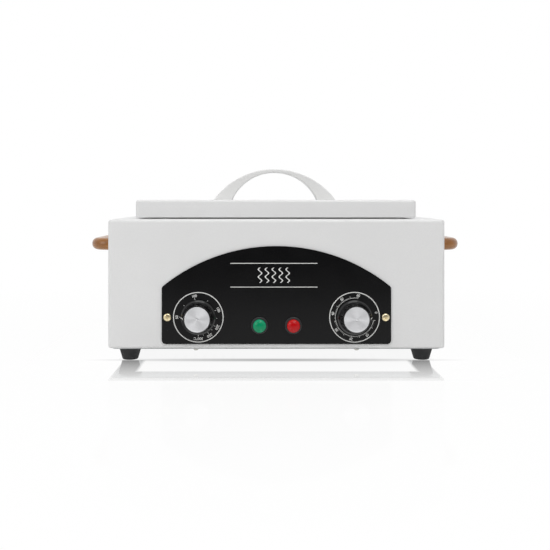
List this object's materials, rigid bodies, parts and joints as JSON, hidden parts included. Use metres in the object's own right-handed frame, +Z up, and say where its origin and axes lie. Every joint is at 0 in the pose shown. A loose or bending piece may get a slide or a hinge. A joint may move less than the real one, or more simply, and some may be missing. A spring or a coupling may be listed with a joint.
{
  "type": "dry heat sterilizer",
  "caption": "Bench-top dry heat sterilizer: steel box with a heated chamber and tray under a hinged lid, two dials, pilot lamps, side handles and rubber feet.",
  "frame": {"origin": "on the bench surface, under the middle of the overall box", "axes": "+X to the right as seen from the front, +Y to the rear, +Z up; the control panel faces -Y"},
  "size_m": [0.4036, 0.2282, 0.2007],
  "materials": {
    "white_powder_coat": "satin powder coat",
    "galvanised_steel": "zinc-coated sheet",
    "zinc_plated_steel": "plated",
    "stainless_steel": "brushed",
    "black_rubber": "matt",
    "black_enamel": "satin black enamel on aluminium sheet",
    "brass": "pale brass",
    "aluminium": "spun",
    "black_plastic": "gloss",
    "black_phenolic": "matt",
    "white_plastic": "satin gloss",
    "white_nylon": "matt",
    "green_lens": "tinted",
    "red_lens": "tinted",
    "varnished_wood": "varnished",
    "heater_sheath": "heat-stained",
    "copper": "drawn copper",
    "mineral_fibre": "fibrous",
    "dark_silicone": "matt",
    "brown_lead": "insulated wire",
    "red_lead": "insulated wire",
    "blue_lead": "insulated wire",
    "green_lead": "insulated wire"
  },
  "bodies": {
    "housing": {"housing_shell": "white_powder_coat", "housing_top": "white_powder_coat", "base_plate": "galvanised_steel", "base_screws": "zinc_plated_steel", "rubber_feet": "black_rubber", "foot_screws": "zinc_plated_steel", "foot_nuts": "zinc_plated_steel", "control_panel": "black_enamel", "panel_screws": "brass", "temperature_regulator": "galvanised_steel", "timer_mechanism": "black_phenolic", "control_screws": "zinc_plated_steel", "green_lamp_body": "black_plastic", "green_lamp_lens": "green_lens", "red_lamp_body": "black_plastic", "red_lamp_lens": "red_lens", "lamp_nuts": "black_plastic", "side_handle_left": "varnished_wood", "side_handle_right": "varnished_wood", "side_handle_screws": "zinc_plated_steel", "body_hinge_leaf_left": "stainless_steel", "body_hinge_leaf_right": "stainless_steel", "hinge_pin_left": "stainless_steel", "hinge_pin_right": "stainless_steel", "body_hinge_rivets": "aluminium", "chamber": "stainless_steel", "instrument_tray": "stainless_steel", "heating_element": "heater_sheath", "heater_clamps": "galvanised_steel", "heater_nuts": "zinc_plated_steel", "insulation_blanket": "mineral_fibre", "heat_shield": "galvanised_steel", "sensing_bulb": "copper", "thermal_cutout": "black_phenolic", "terminal_strip": "white_nylon", "earth_stud": "zinc_plated_steel", "lead_supply": "brown_lead", "lead_regulator_to_timer": "red_lead", "lead_timer_to_cutout": "red_lead", "lead_cutout_to_heater": "red_lead", "lead_heater_return": "blue_lead", "lead_earth": "green_lead", "cord_gland": "black_plastic", "gland_nut": "black_plastic"},
    "lid": {"lid_cover": "white_powder_coat", "lid_liner": "stainless_steel", "lid_seal": "dark_silicone", "lid_packing": "mineral_fibre", "lid_handle": "white_plastic", "lid_handle_screws": "zinc_plated_steel", "lid_hinge_leaf_left": "stainless_steel", "lid_hinge_leaf_right": "stainless_steel", "lid_hinge_rivets": "aluminium"},
    "temperature_knob": {"temperature_knob": "black_plastic", "temperature_knob_cap": "aluminium", "temperature_spindle": "zinc_plated_steel"},
    "timer_knob": {"timer_knob": "black_plastic", "timer_knob_cap": "aluminium", "timer_spindle": "zinc_plated_steel"}
  },
  "joints": [
    {"name": "lid_hinge", "type": "hinge", "parent": "housing", "child": "lid", "pos_m": [0, 0.0902, 0.149], "axis": [-1, 0, 0], "range_deg": [0, 95]},
    {"name": "temperature_dial", "type": "hinge", "parent": "housing", "child": "temperature_knob", "pos_m": [-0.079, -0.0949, 0.047], "axis": [0, 1, 0], "range_deg": [0, 270]},
    {"name": "timer_dial", "type": "hinge", "parent": "housing", "child": "timer_knob", "pos_m": [0.079, -0.0949, 0.047], "axis": [0, 1, 0], "range_deg": [0, 280]}
  ]
}
